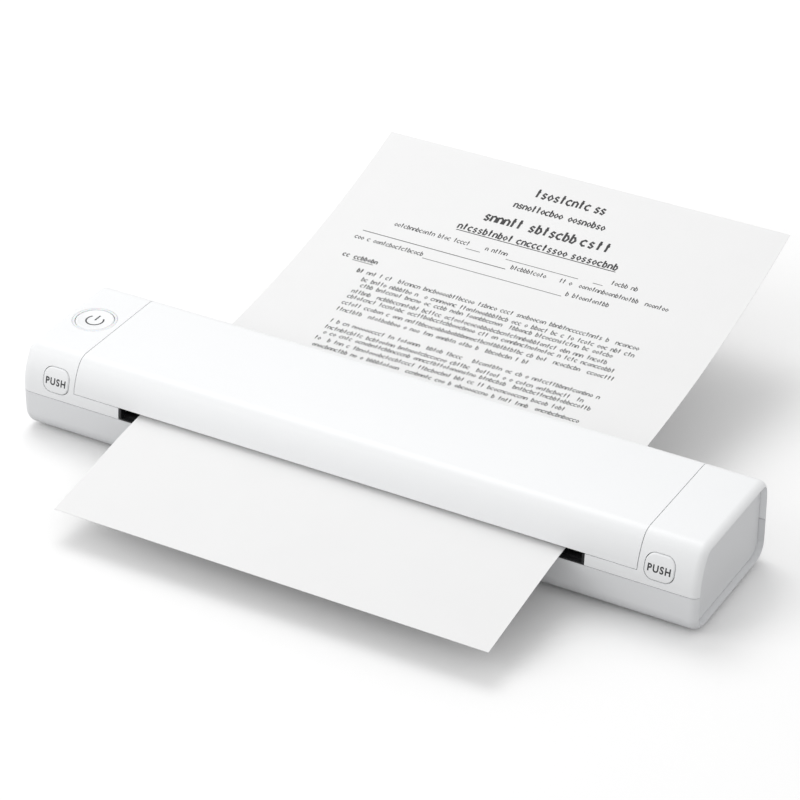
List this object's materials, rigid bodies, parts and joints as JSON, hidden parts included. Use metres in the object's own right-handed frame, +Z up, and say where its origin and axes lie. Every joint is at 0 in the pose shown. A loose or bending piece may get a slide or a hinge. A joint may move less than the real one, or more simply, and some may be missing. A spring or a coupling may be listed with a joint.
{
  "type": "portable thermal printer",
  "caption": "Long, low portable A4 thermal printer with a full-length hinged cover, two push-button latches, a round power button and a sheet half way through.",
  "frame": {"origin": "on the floor, under the middle of the case", "axes": "+X along the case to the right as seen from the front, +Y to the rear, +Z up"},
  "size_m": [0.333, 0.292, 0.0637],
  "materials": {
    "upper_case": "satin moulded ABS",
    "lower_case": "satin moulded ABS",
    "ring": "translucent moulded plastic",
    "guides": "matt black moulded plastic",
    "rubber": "matt",
    "steel": "ground",
    "spring_steel": "bright wire",
    "sheet_steel": "zinc plated",
    "bronze": "sintered bronze",
    "gear_plastic": "natural acetal",
    "ceramic": "glazed ceramic",
    "aluminium": "extruded",
    "board": "solder mask",
    "components": "moulded",
    "battery_wrap": "shrink film",
    "plated_steel": "nickel plated",
    "paper": "coated paper"
  },
  "bodies": {
    "base": {"battery_pack": "battery_wrap", "board_parts": "components", "case_screws": "steel", "end_plate_left": "lower_case", "end_plate_right": "lower_case", "foot_front_left": "rubber", "foot_front_right": "rubber", "foot_rear_left": "rubber", "foot_rear_right": "rubber", "hinge_pin_left": "steel", "hinge_pin_right": "steel", "idler_post": "steel", "latch_spring_left": "spring_steel", "latch_spring_right": "spring_steel", "light_ring": "ring", "lower_shell": "lower_case", "main_board": "board", "motor_bracket": "sheet_steel", "paper_guide_front": "guides", "paper_guide_rear": "guides", "paper_sensor": "components", "platen_bush_left": "bronze", "platen_bush_right": "bronze", "side_frame_left": "sheet_steel", "side_frame_right": "sheet_steel", "stepper_motor": "sheet_steel", "switch_board": "board", "tact_switch": "components", "upper_shell": "upper_case", "usb_c_port": "plated_steel"},
    "cover": {"top_cover": "upper_case", "cover_guide_front": "guides", "cover_guide_rear": "guides", "head_spring_1": "spring_steel", "head_spring_2": "spring_steel", "head_spring_3": "spring_steel", "head_spring_4": "spring_steel"},
    "print_head": {"thermal_head": "ceramic", "heat_sink": "aluminium"},
    "platen": {"platen_shaft": "steel", "platen_rubber": "rubber", "platen_gear": "gear_plastic"},
    "idler": {"idler_gear": "gear_plastic"},
    "motor_rotor": {"motor_shaft": "steel", "motor_pinion": "gear_plastic"},
    "push_right": {"push_button_right": "upper_case", "latch_right": "guides"},
    "push_left": {"push_button_left": "upper_case", "latch_left": "guides"},
    "power": {"power_button": "upper_case"},
    "sheet": {"paper_sheet": "paper"}
  },
  "joints": [
    {"name": "cover_hinge", "type": "hinge", "parent": "base", "child": "cover", "pos_m": [0, 0.0344, 0.0326], "axis": [-1, 0, 0], "range_deg": [0, 80]},
    {"name": "head_float", "type": "slide", "parent": "cover", "child": "print_head", "axis": [0, -0.0885, 0.9961], "range_m": [0, 0.0008], "stiffness_N_per_m": 2000, "springref_m": -0.003, "deforming": ["head_spring_1", "head_spring_2", "head_spring_3", "head_spring_4"]},
    {"name": "platen_spin", "type": "hinge", "parent": "base", "child": "platen", "pos_m": [0, 0.00059, 0.02053], "axis": [-1, 0, 0], "continuous": true},
    {"name": "idler_spin", "type": "hinge", "parent": "base", "child": "idler", "pos_m": [0, 0.0146, 0.01677], "axis": [-1, 0, 0], "continuous": true},
    {"name": "motor_spin", "type": "hinge", "parent": "base", "child": "motor_rotor", "pos_m": [0, -0.00126, 0.01398], "axis": [-1, 0, 0], "continuous": true},
    {"name": "push_right_press", "type": "slide", "parent": "base", "child": "push_right", "axis": [0, 1, 0], "range_m": [0, 0.002], "stiffness_N_per_m": 400, "springref_m": -0.0015, "deforming": ["latch_spring_right"]},
    {"name": "push_left_press", "type": "slide", "parent": "base", "child": "push_left", "axis": [0, 1, 0], "range_m": [0, 0.002], "stiffness_N_per_m": 400, "springref_m": -0.0015, "deforming": ["latch_spring_left"]},
    {"name": "power_press", "type": "slide", "parent": "base", "child": "power", "axis": [0, 0, -1], "range_m": [0, 0.0006], "stiffness_N_per_m": 500, "springref_m": -0.0006},
    {"name": "sheet_feed", "type": "slide", "parent": "base", "child": "sheet", "axis": [0, 0.9961, 0.0885], "range_m": [0, 0.03]}
  ],
  "couplings": [
    {"joint": "idler_spin", "follows": "platen_spin", "ratio": -2},
    {"joint": "motor_spin", "follows": "platen_spin", "ratio": 4.6667}
  ]
}
